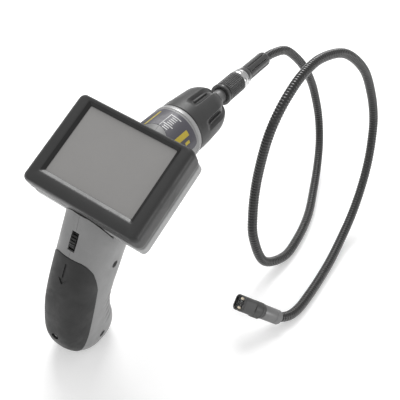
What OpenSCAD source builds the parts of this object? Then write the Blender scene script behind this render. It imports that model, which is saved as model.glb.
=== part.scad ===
// Pistol-grip inspection camera: handset, slide-off monitor and a shape-holding probe.
// Frame: origin at the middle of the foot of the grip, +Y along the barrel, +Z up, millimetres.

/* [Grip] */
// Height of the grip where it runs into the barrel
grip_h = 133; // [110:1:160]
// Widest part of the grip, side to side
grip_w = 38; // [34:0.5:46]
// Wall of the two moulded shells
shell_wall = 2.2; // [1.6:0.1:3]
// Roundness of the grip's cross-section, 2 is an ellipse
grip_round = 2.5; // [2:0.1:3.5]

/* [Barrel and nose] */
// Height of the barrel's centre line
barrel_z = 135; // [112:1:162]
// Radius of the barrel
barrel_r = 21.5; // [18:0.5:26]
// Where the barrel ends and the bright ring starts
barrel_front = 112; // [100:1:135]
// Width of the bright ring
ring_w = 4; // [3:0.5:8]
// Length of the fluted nose cap
nose_len = 47.5; // [40:0.5:58]
// Number of grip flutes round the nose
flutes = 6; // [4:1:9]
// Outer radius of the threaded probe socket
socket_r = 5.5; // [4.5:0.1:6.6]

/* [Monitor] */
// Width of the monitor
monitor_w = 94; // [80:1:114]
// Height of the monitor
monitor_h = 70.5; // [60:0.5:85]
// Backward tilt of the monitor from the barrel's line
monitor_tilt = 29; // [20:1:35]
// Depth of the bezel, from its face to the band
bezel_d = 14.5; // [12:0.5:18]
// Depth of the grey band
band_d = 5; // [4:0.5:8]
// Depth of the back shell
back_d = 11; // [9.2:0.2:14]
// Width of the visible screen
screen_w = 70.1; // [58:0.1:72]
// Height of the visible screen
screen_h = 52.6; // [44:0.1:54]
// Wall of the monitor's housing
case_wall = 2.2; // [1.6:0.1:2.8]
// Radius of the push buttons
button_r = 2.6; // [1.8:0.1:3]
// Travel of the push buttons
button_travel = 0.6; // [0.4:0.1:1]

/* [Battery bay] */
// Diameter of one battery cell
cell_d = 14.5; // [10.5:0.1:14.8]
// Length of one battery cell
cell_len = 50.5; // [42:0.5:56]

/* [Dimmer wheel] */
// Radius of the thumb wheel
wheel_r = 8.5; // [7:0.1:8.8]
// Width of the thumb wheel
wheel_w = 4.8; // [3.8:0.2:6]

/* [Probe] */
// Diameter of the bendable tube over its ribs
tube_d = 8.4; // [7:0.1:8.8]
// Outer radius of the knurled coupling nut
nut_r = 8.6; // [8:0.1:10.4]
// Length of the coupling nut
nut_len = 33; // [28:0.5:40]
// Length of the fluted sleeve in front of the nut
sleeve_len = 33; // [26:0.5:38]
// Radius of the fluted sleeve
sleeve_r = 6.5; // [6:0.1:7.8]
// Half the width of the camera head
head_r = 6.3; // [5.8:0.1:6.8]
// Length of the camera head in front of its ferrule
head_len = 24.1; // [21:0.1:28]

/* [Hidden] */

$fn = 64;
slip = 0.3;          // gap between covers that part
run = 0.06;          // radial clearance of a turning fit
tiny = 0.01;

// Grip stations: [share of grip_h, back, front, drawn in from half the width]
STATIONS = [
    [0.000, -4.0, 17.0, 8.0], [0.015, -9.0, 22.0, 4.5], [0.045, -14.5, 27.0, 2.5],
    [0.090, -19.0, 29.0, 1.2], [0.150, -23.0, 28.5, 0.6], [0.240, -25.5, 25.5, 0.2],
    [0.350, -25.0, 24.5, 0.0], [0.450, -23.5, 28.0, -0.2], [0.565, -19.5, 35.0, -0.4],
    [0.680, -14.0, 42.0, -0.6], [0.790, -8.0, 50.0, -1.2], [0.890, -2.5, 60.0, -2.0],
    [1.000, 2.5, 72.0, -2.5]];
RING_SIDES = 28;
FINE = 2;            // rings for each station

// Route of the bendable tube, from the sleeve to the camera head
ROUTE = [[0, 243, 135], [1, 257, 134], [4, 277, 129], [10, 292, 117], [17, 303, 103],
    [22, 311, 89], [27, 317, 74], [37, 320, 48], [48, 311, 27], [59, 291, 14], [70, 264, 7],
    [81, 232, 4.9], [87, 200, 4.8], [88, 171, 5.5], [80, 144, 18], [69, 136, 46], [62, 140, 67],
    [57, 146, 88], [55, 150, 109], [54, 155, 130], [54, 163, 147], [54, 177, 160],
    [54, 197, 168], [56, 224, 170], [64, 255, 163], [76, 279, 142], [86, 291, 116],
    [95, 294, 91], [102, 288, 70], [108, 277, 52], [113, 262, 34], [117, 243, 19],
    [120, 220, 9.5], [123, 193, 5.5], [124.6, 166, 4.3], [125, 146, 4.3], [124.6, 129.5, 4.5],
    [122, 116.5, 6], [116.3, 106.4, 9.2]];
ROUTE_STEPS = 2;     // rings for each stretch of the route
TUBE_SIDES = 10;
head_yaw = 223.5;    // heading of the camera head
head_pitch = 34;     // how far its nose is lifted
head_roll = 40;      // turn of its square front about its own line

// ---------- curves and lofts ----------

function blend4(p, t) = 0.5 * (2 * p[1] + (p[2] - p[0]) * t + (2 * p[0] - 5 * p[1] + 4 * p[2] - p[3]) * t * t
    + (3 * p[1] - p[0] - 3 * p[2] + p[3]) * t * t * t);
function pick(list, i) = list[max(0, min(len(list) - 1, i))];
function smooth(list, steps) = [for (i = [0 : len(list) - 2], k = [0 : steps - 1])
    blend4([pick(list, i - 1), list[i], list[i + 1], pick(list, i + 2)], k / steps), list[len(list) - 1]];
function unit(v) = v / norm(v);
function power(c, p) = sign(c) * pow(abs(c), 2 / p);

function sides_of(count, n, first, out) = [for (k = [0 : count - 2], i = [0 : n - 1])
    let (a = first + k * n + i, b = first + k * n + (i + 1) % n) out ? [a, b, b + n, a + n] : [a + n, b + n, b, a]];
// A solid through rings of points
module skin(rings) {
    n = len(rings[0]);
    ends = [[for (i = [n - 1 : -1 : 0]) i], [for (i = [0 : n - 1]) (len(rings) - 1) * n + i]];
    polyhedron([for (r = rings) each r], concat(sides_of(len(rings), n, 0, true), ends));
}
// A tube wall between an outer and an inner set of rings
module hollow_skin(outer, inner) {
    n = len(outer[0]);
    count = len(outer);
    in0 = count * n;
    last = (count - 1) * n;
    near_end = [for (i = [0 : n - 1]) let (j = (i + 1) % n) [i, in0 + i, in0 + j, j]];
    far_end = [for (i = [0 : n - 1]) let (j = (i + 1) % n) [last + i, last + j, in0 + last + j, in0 + last + i]];
    polyhedron([for (r = concat(outer, inner)) each r], concat(sides_of(count, n, 0, true),
        sides_of(count, n, in0, false), near_end, far_end));
}

// One level outline of the grip at station s, drawn in by inset
function grip_ring(s, inset) = [for (i = [0 : RING_SIDES - 1])
    let (a = i * 360 / RING_SIDES, mid = (s[1] + s[2]) / 2, deep = (s[2] - s[1]) / 2 - inset,
        wide = grip_w / 2 - s[3] - inset)
    [wide * power(cos(a), grip_round), mid + deep * power(sin(a), grip_round),
        inset + s[0] * (grip_h - inset)]];

module grip_loft(inset) {
    rings = [for (s = smooth(STATIONS, FINE)) grip_ring(s, inset)];
    for (k = [0 : len(rings) - 2]) hull() skin([rings[k], rings[k + 1]]);
}

// Rings along the route: a frame is carried from ring to ring so the tube doesn't twist
function headings(pts) = [for (i = [0 : len(pts) - 1]) unit(pick(pts, i + 1) - pick(pts, i - 1))];
function carry(dirs, i, n) = i >= len(dirs) ? [] :
    let (m = unit(n - (n * dirs[i]) * dirs[i])) concat([m], carry(dirs, i + 1, m));
head_dir = [cos(head_pitch) * cos(head_yaw), cos(head_pitch) * sin(head_yaw), sin(head_pitch)];
function tube_rings(pts, r) = let (
    dirs = concat([[0, 1, 0]], [for (i = [1 : len(pts) - 2]) headings(pts)[i]], [head_dir]),
    sides = carry(dirs, 0, [1, 0, 0]))
    [for (i = [0 : len(pts) - 1]) [for (j = [0 : TUBE_SIDES - 1]) let (a = -j * 360 / TUBE_SIDES)
        pts[i] + r * (cos(a) * sides[i] + sin(a) * cross(dirs[i], sides[i]))]];

// ---------- places ----------

// The screen's centre and the monitor's own directions: X right, Y up the screen, Z out of it
bezel_proud = 2.5;
screen_up = barrel_z + 24.5;
screen_back = 33;
bottom_share = 0.5475;              // share of the height below the screen's centre
v_low = -monitor_h * bottom_share;
v_high = monitor_h + v_low;
n_band = bezel_proud - bezel_d;
n_back_shell = n_band - band_d;
n_back = n_back_shell - back_d;
dock_gap = 0.4;
module in_monitor() translate([0, screen_back, screen_up]) rotate([monitor_tilt, 0, 0]) children();

// A cylinder along the barrel from y0 to y1
module along(y0, y1, r, r2 = undef) translate([0, y0, barrel_z]) rotate([-90, 0, 0])
    cylinder(h = y1 - y0, r1 = r, r2 = is_undef(r2) ? r : r2);
// A turned shape on the barrel's line from [radius, y] points
module turned(points) translate([0, 0, barrel_z]) rotate([-90, 0, 0]) rotate_extrude() polygon(points);

ring_end = barrel_front + ring_w;
seal_end = ring_end + 1.2;
nose_end = seal_end + nose_len;
socket_end = nose_end + 9.3;
nut_back = socket_end - 2;
nut_end = nut_back + nut_len;
sleeve_back = nut_end + 1;
collar_w = 4.5;
sleeve_end = sleeve_back + collar_w + sleeve_len - 0.5;

// ---------- handset ----------

module monitor_space(gap) in_monitor()
    translate([-monitor_w, v_low - gap, n_back - gap]) cube([2 * monitor_w, 3 * monitor_h, 3 * monitor_h]);

module handset_form(inset, front) difference() {
    union() {
        grip_loft(inset);
        along(30 + inset, front, barrel_r - inset);
    }
    monitor_space(dock_gap + inset);
}

// Side outline of the battery door, grown by g
door_lean = 11;
door_top = 0.77 * grip_h;
door_mid = 0.57 * grip_h;
door_front = -1.5;
module door_area(g) translate([-grip_w, 0, 0]) rotate([90, 0, 90])
    linear_extrude(2 * grip_w) polygon([[-60, door_top + g], [-9, door_top + g], [-6.8 + g, door_top - 2 + g],
        [-4.4 + g, door_top - 7.5], [-2.7 + g, door_mid + 12], [-1.8 + g, door_mid + 5], [door_front + g, door_mid],
        [door_front + g - tan(door_lean) * (door_mid + 20), -20], [-60, -20]]);

screw_r = 1.4;
screw_head_r = 2.6;
screw_seat = 11;
// Screw places on the side of the handset: [y, z]
SCREWS = [[16, 0.655 * grip_h], [5.5, 0.115 * grip_h], [80, barrel_z - 0.6 * barrel_r]];
module on_screws() for (p = SCREWS) translate([0, p[0], p[1]]) rotate([0, 90, 0]) children();

// Thumb wheel: it shows through a slot in the back of the grip
slot_z = 0.857 * grip_h;
slot_y = -4.2;
slot_lean = 22;
wheel_proud = 1.4;
module at_wheel() translate([0, slot_y, slot_z]) rotate([-slot_lean, 0, 0])
    translate([0, wheel_r - wheel_proud, 0]) rotate([0, 90, 0]) children();

rail_w = 12;
rail_head_w = 18;
rail_low = -22;
rail_len = 36;
rail_step = 2.2;
module rail_bar(w, n0, n1, g = 0) in_monitor()
    translate([-w / 2 - g, rail_low - g, n0]) cube([w + 2 * g, rail_len + 2 * g, n1 - n0]);

module handset_shell() difference($fn = 36) {
    union() {
        difference() {
            handset_form(0, barrel_front);
            handset_form(shell_wall, barrel_front + 1);
        }
        intersection() {
            on_screws() translate([0, 0, -2 * grip_w]) cylinder(r = screw_head_r + 1.8, h = 4 * grip_w);
            handset_form(0.5, barrel_front);
        }
    }
    door_area(0);
    on_screws() {
        translate([0, 0, -screw_seat]) cylinder(r = screw_r + 0.1, h = 2 * screw_seat);
        translate([0, 0, screw_seat - 2]) cylinder(r = screw_head_r + 0.3, h = grip_w);
    }
    at_wheel() cylinder(r = wheel_r + 1, h = wheel_w + 1, center = true);
    rail_bar(rail_w, n_back - 12, n_back + 1, 0.1);
    in_pack() translate([0, 0, -tray_len / 2 - slip]) linear_extrude(tray_len + 2 * slip) tray_outline(slip / 2);
}

module left_shell() color("#8b8d8e") intersection() {
    handset_shell();
    translate([-200, -100, -100]) cube([200, 400, 400]);
}

module right_shell() color("#8b8d8e") intersection() {
    handset_shell();
    translate([0, -100, -100]) cube([200, 400, 400]);
}

module shell_screws() color("#6f7275") on_screws() {
    translate([0, 0, -screw_seat + 1]) cylinder(r = screw_r, h = 2 * screw_seat - 3);
    translate([0, 0, screw_seat - 2]) difference() {
        cylinder(r = screw_head_r, h = 2);
        translate([0, 0, 1]) cube([0.9, 3.4, 2.2], center = true);
        translate([0, 0, 1]) cube([3.4, 0.9, 2.2], center = true);
    }
}

module dock_rail() color("#2b2c2e") {
    rail_bar(rail_w, n_back - dock_gap - shell_wall - 0.1, n_back + rail_step + 0.2);
    rail_bar(rail_head_w, n_back + rail_step, n_back + 2 * rail_step);
    rail_bar(rail_w + 5, n_back - dock_gap - shell_wall - 2.1, n_back - dock_gap - shell_wall - 0.1);
}

// Sprung contacts on the rail meet pads in the monitor's channel
CONTACTS = [-3.6, -1.2, 1.2, 3.6];
module dock_contacts() color("#c9a24a") for (x = CONTACTS) in_monitor()
    translate([x, rail_low + 6, n_back + 2 * rail_step]) cylinder(r = 0.7, h = 0.5, $fn = 24);

board_drop = 6;
module main_board() color("#2f6b43") translate([0, 56, barrel_z - board_drop]) {
    translate([-15, 0, -1.6]) cube([30, 46, 1.6]);
    translate([-6, 20, 0]) cube([12, 12, 1.4]);
    translate([7, 30, 0]) cube([6, 9, 2]);
    translate([-13, 34, 0]) cube([5, 8, 3]);
    for (x = [-11, -7, 9]) translate([x, 14, 0]) cylinder(r = 1.6, h = 3.4, $fn = 32);
}

// Battery pack: four cells stand in a tray that follows the grip
pack_lean = 9;
pack_y = 4.5;
pack_z = 0.4 * grip_h;
cell_gap = 0.2;
cell_pitch = cell_d + cell_gap;
CELLS = [for (x = [-0.5, 0.5], y = [-0.5, 0.5]) [x * cell_pitch, y * cell_pitch]];
module in_pack() translate([0, pack_y, pack_z]) rotate([-pack_lean, 0, 0]) children();

tray_end = 1.6;
spring_room = 3.6;
tray_len = cell_len + spring_room + 2 * tray_end;
tray_w = 2 * cell_pitch + 1.6;
module tray_outline(g = 0) {
    round_r = cell_pitch / 2 + 0.2;
    for (x = [-1, 1], y = [-1, 1]) translate([x, y] * (tray_w / 2 - round_r)) circle(round_r + g);
    square([tray_w + 2 * g, tray_w - 2 * round_r], center = true);
    square([tray_w - 2 * round_r, tray_w + 2 * g], center = true);
}
module battery_tray() color("#33353a") in_pack() difference() {
    translate([0, 0, -tray_len / 2]) linear_extrude(tray_len) tray_outline();
    translate([0, 0, -tray_len / 2 + tray_end]) linear_extrude(tray_len - 2 * tray_end) {
        for (c = CELLS) translate(c) circle(cell_d / 2 + cell_gap);
        square(cell_pitch, center = true);
        translate([-cell_pitch, -tray_w]) square([2 * cell_pitch, tray_w - cell_pitch / 2]);
    }
}

module battery_cells() color("#3a4a66") in_pack()
    for (c = CELLS) translate([c[0], c[1], -tray_len / 2 + tray_end + spring_room]) {
        cylinder(r = cell_d / 2 - 0.05, h = cell_len - 1.4);
        cylinder(r = 2.7, h = cell_len - 0.1);
    }

module battery_contacts() color("#c8ccd0") in_pack() for (c = CELLS) {
    translate([c[0], c[1], -tray_len / 2 + tray_end]) {
        cylinder(r = 5, h = 0.5);
        for (k = [0 : 2]) translate([0, 0, 0.5 + k]) difference() {
            cylinder(r = 4.2 - 0.6 * k, h = 1);
            translate([0, 0, -tiny]) cylinder(r = 3.2 - 0.6 * k, h = 1 + 2 * tiny);
        }
    }
}

pot_x = wheel_w / 2 + 1;
pot_w = 5;
pot_r = 3.1;
shaft_r = 1.5;
module dimmer_potentiometer() color("#3c5f9a") at_wheel() translate([0, 0, pot_x]) difference() {
    cylinder(r = pot_r, h = pot_w);
    translate([0, 0, -tiny]) cylinder(r = shaft_r + run, h = pot_w - 1);
}
module dimmer_shaft() color("#b9bcc0") at_wheel()
    translate([0, 0, -wheel_w / 2 - 1]) cylinder(r = shaft_r, h = wheel_w + 2 + pot_w - 2);

module dimmer_wheel() color("#151617") at_wheel() difference() {
    cylinder(r = wheel_r, h = wheel_w, center = true);
    translate([0, 0, -wheel_w / 2 - tiny]) cylinder(r = shaft_r, h = wheel_w + 2 * tiny);
    for (a = [0 : 15 : 345]) rotate(a) translate([wheel_r, 0, 0])
        cube([1, 0.9, wheel_w + 1], center = true);
}

// ---------- battery door ----------

door_proud = 0.5;
door_skin = 1.6;
door_foot = 7;
door_screw_z = 0.235 * grip_h;
module at_door_screw() translate([0, -26, door_screw_z]) rotate([-90, 0, 0]) children();
module battery_door() color("#2d2e30") difference() {
    union() {
        difference() {
            grip_loft(-door_proud);
            grip_loft(door_skin);
        }
        intersection() {
            at_door_screw() cylinder(r = 4.8, h = 7);
            grip_loft(-door_proud);
        }
    }
    difference() {
        translate([-100, -100, -100]) cube([200, 200, 400]);
        difference() {
            door_area(-slip);
            translate([-100, -100, -100]) cube([200, 200, 100 + door_foot]);
        }
    }
    at_door_screw() {
        translate([0, 0, -5]) cylinder(r = 3, h = 9);
        cylinder(r = 1.5, h = 20);
    }
}
module door_screw() color("#c5c8cb") at_door_screw() difference() {
    union() {
        translate([0, 0, 2.2]) cylinder(r = 2.7, h = 1.8);
        translate([0, 0, 3]) cylinder(r = 1.4, h = 5.5);
    }
    translate([0, 0, 2.4]) cube([0.9, 4, 1.6], center = true);
}
// Foam that keeps the cells down: it fills the door's inner face behind the pack
pad_w = 18;
pad_front = -16.4;
module door_pad() color("#4a4a4a") intersection() {
    grip_loft(door_skin + tiny);
    translate([-pad_w / 2, -40, 0.3 * grip_h]) cube([pad_w, 40 + pad_front, 0.16 * grip_h]);
}

// ---------- nose ----------

nose_r = barrel_r - 0.2;
spigot_r = barrel_r - shell_wall - 0.1;
label_t = 0.3;
label_back = 60;
module barrel_label() color("#3c3d42") difference() {
    intersection() {
        difference() {
            along(label_back, barrel_front - 2.2, barrel_r + label_t);
            along(label_back - 1, barrel_front, barrel_r);
        }
        translate([-60, 0, barrel_z - 7]) cube([120, 200, 60]);
    }
    monitor_space(dock_gap + 0.6);
}

module barrel_ring() color("#b4b7ba") turned([[spigot_r + 0.05, barrel_front], [barrel_r + 0.2, barrel_front],
    [barrel_r + 0.4, barrel_front + 0.5], [barrel_r + 0.4, ring_end - 0.5], [barrel_r + 0.1, ring_end],
    [spigot_r + 0.05, ring_end]]);

module nose_seal() color("#0f0f10")
    turned([[spigot_r + 0.05, ring_end], [nose_r - 0.6, ring_end], [nose_r - 0.6, seal_end], [spigot_r + 0.05, seal_end]]);

flange_r = socket_r + 3.7;
nose_wall = 3.4;
module nose_cap() color("#4d4e50") difference() {
    turned([[0, barrel_front - 9], [spigot_r, barrel_front - 9], [spigot_r, seal_end], [nose_r - 0.3, seal_end],
        [nose_r, seal_end + 1], [nose_r, seal_end + 0.35 * nose_len], [nose_r - 0.9, seal_end + 0.6 * nose_len],
        [nose_r - 2.4, seal_end + 0.76 * nose_len], [nose_r - 5, seal_end + 0.88 * nose_len],
        [nose_r - 8.5, seal_end + 0.96 * nose_len], [nose_r - 12, nose_end], [0, nose_end]]);
    along(barrel_front - 10, seal_end + 0.5 * nose_len, spigot_r - 2.4);
    along(seal_end + 0.5 * nose_len - 1, nose_end - 11, spigot_r - 2.4, flange_r + 0.5);
    along(nose_end - 12, nose_end - 8, flange_r + 0.1);
    along(nose_end - 9, nose_end + 1, socket_r + 0.05);
    for (k = [0 : flutes - 1]) translate([0, 0, barrel_z]) rotate([0, 20 + k * 360 / flutes, 0])
        translate([nose_r + 4.2, nose_end - 26, 0]) rotate([-90, 0, 9]) cylinder(r = 6, h = 40);
}

module probe_socket() color("#8f9294") difference() {
    union() {
        along(nose_end - 11, nose_end - 8, flange_r);
        along(nose_end - 10, socket_end, socket_r);
    }
    along(socket_end - 16, socket_end + 1, pin_r + 0.1);
}

// ---------- monitor ----------

module plate(w, v0, v1, n0, n1, r) translate([0, 0, n0]) linear_extrude(n1 - n0) {
    translate([-w / 2 + r, v0]) square([w - 2 * r, v1 - v0]);
    translate([-w / 2, v0 + r]) square([w, v1 - v0 - 2 * r]);
    for (x = [-w / 2 + r, w / 2 - r], v = [v0 + r, v1 - r]) translate([x, v]) circle(r);
}
corner_r = 3;
module body_plate(n0, n1, g, r = corner_r)
    plate(monitor_w - 2 * g, v_low + g, v_high - g, n0, n1, max(0.5, r - g));

post_r = 2.9;
post_in = case_wall + post_r - 0.2;
SCREW_POSTS = [for (x = [-1, 1], v = [v_low + post_in, v_high - post_in]) [x * (monitor_w / 2 - post_in), v]];
BUTTONS = [-28, -14, 0];
button_n = -8.3;
jack_v = -10;
jack_n = -6;
jack_r = 3;
module at_jack() translate([-monitor_w / 2, jack_v, jack_n]) rotate([0, 90, 0]) children();
module at_button(x) translate([x, v_high, button_n]) rotate([90, 0, 0]) children();

face_round = 5;
bezel_flare = 2.5;
function opening(g, n) = [for (c = [[-1, 1], [1, 1], [1, -1], [-1, -1]])
    [c[0] * (screen_w / 2 + g), c[1] * (screen_h / 2 + g), n]];
module monitor_bezel() color("#3f4042") in_monitor() difference() {
    union() {
        difference() {
            intersection() {
                body_plate(n_band, bezel_proud, 0);
                rotate([90, 0, 0]) translate([0, 0, -v_high - 1]) linear_extrude(monitor_h + 2) {
                    translate([-monitor_w / 2 + face_round, n_band])
                        square([monitor_w - 2 * face_round, bezel_d]);
                    translate([-monitor_w / 2, n_band]) square([monitor_w, bezel_d - face_round]);
                    for (s = [-1, 1]) translate([s * (monitor_w / 2 - face_round), bezel_proud - face_round])
                        circle(face_round);
                }
            }
            body_plate(n_band - 1, 0, case_wall);
        }
        for (p = SCREW_POSTS) translate([p[0], p[1], n_band]) cylinder(r = post_r, h = -n_band);
    }
    skin([opening(0, -tiny), opening(bezel_flare, bezel_proud + 1)]);
    for (p = SCREW_POSTS) translate([p[0], p[1], n_band - 1]) cylinder(r = 1, h = 8);
    for (x = BUTTONS) at_button(x) translate([0, 0, -1]) cylinder(r = button_r + run, h = case_wall + 2);
    at_jack() translate([0, 0, -1]) cylinder(r = jack_r + 0.1, h = case_wall + 2);
}

module monitor_band() color("#6e7073") in_monitor() difference() {
    body_plate(n_back_shell, n_band, 0.6);
    body_plate(n_back_shell - 1, n_band + 1, 0.6 + case_wall);
}

channel_gap = 0.4;
pad_d = 2 * rail_step + 2.6;
module monitor_back() color("#a6a8aa") in_monitor() difference() {
    union() {
        difference() {
            body_plate(n_back, n_back_shell, 0.3);
            body_plate(n_back + case_wall, n_back_shell + 1, 0.3 + case_wall);
        }
        plate(rail_head_w + 8, v_low + 0.3, rail_low + rail_len + 4, n_back, n_back + pad_d, 1);
        for (p = SCREW_POSTS) translate([p[0], p[1], n_back]) cylinder(r = post_r, h = back_d);
    }
    translate([-rail_w / 2 - channel_gap, v_low - 1, n_back - 1])
        cube([rail_w + 2 * channel_gap, rail_low + rail_len - v_low + 1 + channel_gap, rail_step + 2]);
    translate([-rail_head_w / 2 - channel_gap, v_low - 1, n_back + rail_step - channel_gap])
        cube([rail_head_w + 2 * channel_gap, rail_low + rail_len - v_low + 1 + channel_gap, rail_step + 1.4]);
    for (p = SCREW_POSTS) translate([p[0], p[1], n_back]) {
        translate([0, 0, -1]) cylinder(r = 1.3, h = back_d + 2);
        translate([0, 0, -1]) cylinder(r = 2.5, h = 3);
    }
}

module monitor_screws() color("#54575a") in_monitor() for (p = SCREW_POSTS) translate([p[0], p[1], n_back])
    difference() {
        union() {
            translate([0, 0, 0.3]) cylinder(r = 2.3, h = 1.7);
            translate([0, 0, 1]) cylinder(r = 1, h = back_d + band_d + 6);
        }
        cube([0.8, 3, 1.8], center = true);
        cube([3, 0.8, 1.8], center = true);
    }

window_t = 1.2;
lcd_t = 3;
module screen_window() color("#8e8d8a") in_monitor()
    plate(screen_w + 5, -screen_h / 2 - 2.5, screen_h / 2 + 2.5, -window_t, -tiny, 1);
module lcd_panel() color("#97958f") in_monitor()
    plate(screen_w + 6, -screen_h / 2 - 3.6, screen_h / 2 + 3, -window_t - 0.1 - lcd_t, -window_t - 0.1, 0.6);
board_n = n_band + 2.2;
module monitor_board() color("#2f6b43") in_monitor() {
    plate(screen_w + 2, -screen_h / 2 - 4, v_high - case_wall - 5, board_n, board_n + 1.6, 1);
    for (x = [-20, 6]) translate([x, -12, board_n - 1.6]) cube([12, 12, 1.7]);
    translate([-6, 12, board_n - 1.6]) cube([8, 6, 1.7]);
    for (x = BUTTONS) translate([x - 2, v_high - case_wall - 6.4, board_n]) cube([4, 2.6, 5]);
}
module monitor_battery() color("#4c5a78") in_monitor()
    plate(50, -22, 14, n_back_shell - 3.2, n_band - 0.6 + 0.2, 2);
module monitor_contacts() color("#c9a24a") for (x = CONTACTS) in_monitor()
    translate([x - 0.7, rail_low + 4, n_back + 2 * rail_step + 0.5]) cube([1.4, 5, 0.5]);
module video_jack() color("#1b1c1d") in_monitor() at_jack() difference() {
    translate([0, 0, -0.2]) cylinder(r = jack_r, h = 9);
    translate([0, 0, -1]) cylinder(r = 1.8, h = 8.8);
}

module push_button(x) in_monitor() at_button(x) {
    translate([0, 0, -1]) cylinder(r = button_r, h = case_wall + 1.2);
    translate([0, 0, case_wall + 0.1]) cylinder(r = button_r + 0.6, h = 0.8);
    translate([0, 0, case_wall]) cylinder(r = 1.2, h = 3.8 - button_travel - 0.1);
}
module power_button() color("#a33a32") push_button(BUTTONS[0]);
module up_button() color("#55585b") push_button(BUTTONS[1]);
module down_button() color("#55585b") push_button(BUTTONS[2]);

// ---------- probe ----------

stem_r = 4.5;
plug_flange_r = 6.4;
plug_flange_y = socket_end + 11;
plug_flange_w = 3.5;
pin_r = 3;
ring_bare = 7;
knurls = 40;

module coupling_nut() color("#4f5153") difference() {
    union() {
        along(nut_back, nut_back + 3, nut_r + 0.3);
        along(nut_back + 3, nut_end - ring_bare, nut_r);
        along(nut_end - ring_bare - 1, nut_end, nut_r - 1.8);
    }
    along(nut_back - 1, plug_flange_y, socket_r + run);
    along(plug_flange_y - 1, plug_flange_y + plug_flange_w + 0.6, plug_flange_r + 0.1);
    along(plug_flange_y, nut_end + 1, stem_r + run);
    for (k = [0 : knurls - 1]) translate([0, nut_back + 4, barrel_z]) rotate([0, k * 360 / knurls, 0])
        translate([nut_r - 0.3, 0, -0.3]) cube([1, nut_len - ring_bare - 5, 0.6]);
}

module nut_ring() color("#d6d8da") turned([[nut_r - 1.8, nut_end - ring_bare], [nut_r - 0.4, nut_end - ring_bare],
    [nut_r, nut_end - ring_bare + 1], [nut_r - 0.3, nut_end - 1.5], [nut_r - 1.2, nut_end], [nut_r - 1.8, nut_end]]);

sleeve_flutes = 8;
module plug_sleeve() color("#47494b") difference() {
    union() {
        along(socket_end + 0.4, sleeve_back + 1, stem_r);
        along(plug_flange_y + 0.3, plug_flange_y + plug_flange_w, plug_flange_r);
        along(sleeve_back, sleeve_back + collar_w, sleeve_r + 0.5);
        turned([[0, sleeve_back + 1], [sleeve_r, sleeve_back + 1], [sleeve_r, sleeve_end - 2],
            [sleeve_r - 0.8, sleeve_end], [0, sleeve_end]]);
    }
    for (k = [0 : sleeve_flutes - 1]) translate([0, sleeve_back + collar_w + 1, barrel_z])
        rotate([0, k * 360 / sleeve_flutes, 0]) translate([sleeve_r - 0.5, 0, -0.6])
        cube([2, sleeve_len - 4, 1.2]);
}

module plug_pin() color("#c9a24a") {
    along(socket_end - 14, socket_end + 0.4, pin_r);
}

core_d = 5.4;
tube_path = smooth(ROUTE, ROUTE_STEPS);
module gooseneck_sheath() color("#17181a")
    hollow_skin(tube_rings(tube_path, tube_d / 2), tube_rings(tube_path, core_d / 2));
module gooseneck_core() color("#8d9094") skin(tube_rings(tube_path, core_d / 2 - 0.1));

// Camera head: local +Z runs out of the tube's end
module at_head() translate(ROUTE[len(ROUTE) - 1]) rotate([0, 0, head_yaw]) rotate([0, -head_pitch, 0])
    rotate([0, 90, 0]) rotate([0, 0, head_roll]) children();
ferrule_r = 6;
ferrule_len = 19.2;
neck_r = 4.9;
collar_len = 10.8;
face_in = 0.7;
head_back = ferrule_len + collar_len + 0.4;
head_front = ferrule_len + head_len;

module head_ferrule() color("#6a6c6f") at_head() {
    cylinder(r1 = ferrule_r - 0.8, r2 = ferrule_r, h = 1.2);
    translate([0, 0, 1.2]) cylinder(r = ferrule_r, h = ferrule_len - 1.2);
}

module head_collar() color("#38393b") at_head() translate([0, 0, ferrule_len + 0.2]) difference() {
    union() {
        cylinder(r = ferrule_r + 0.4, h = collar_len);
        translate([3.2, -2.2, 1.5]) cube([3.8, 4.4, collar_len - 3]);
    }
    translate([0, 0, -tiny]) cylinder(r = neck_r + run, h = collar_len + 1);
}

// The square front of the head with round corners, drawn in by g
head_corner = 3.4;
module head_square(g, z0, z1) translate([0, 0, z0]) linear_extrude(z1 - z0) {
    side = head_r - g;
    flat = head_r - head_corner;
    square([2 * side, 2 * flat], center = true);
    square([2 * flat, 2 * side], center = true);
    for (x = [-flat, flat], y = [-flat, flat]) translate([x, y]) circle(head_corner - g);
}
module head_barrel() color("#3a3b3d") at_head() difference() {
    union() {
        translate([0, 0, ferrule_len]) cylinder(r = neck_r, h = head_back - ferrule_len + 1);
        head_square(0, head_back, head_front - 0.5);
        head_square(0.5, head_front - 1, head_front);
    }
    translate([0, 0, head_back + 1]) cylinder(r = head_r - 1.6, h = head_len);
    head_square(1.2, head_front - face_in - 0.7, head_front + 1);
}

module head_window() color([0.8, 0.85, 0.88, 0.4]) at_head()
    head_square(1.25, head_front - face_in - 0.69, head_front - face_in);
board_back = head_front - 4.6;
module head_board() color("#20242a") at_head() translate([0, 0, board_back]) cylinder(r = head_r - 1.7, h = 1);
module head_lens() color("#0c0d10") at_head() translate([0, 0, board_back + 1]) {
    cylinder(r = 1.9, h = 1.6);
    translate([0, 0, 1.6]) cylinder(r1 = 1.9, r2 = 1.3, h = 0.5);
}
led_ring = head_r - 2.9;
module head_leds() color("#f4e6c8") at_head() translate([0, 0, board_back + 1])
    for (a = [0, 180]) rotate(a) translate([led_ring - 0.1, 0, 0.6]) cube([1.6, 2.6, 1.2], center = true);

// ---------- assembly ----------

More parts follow.
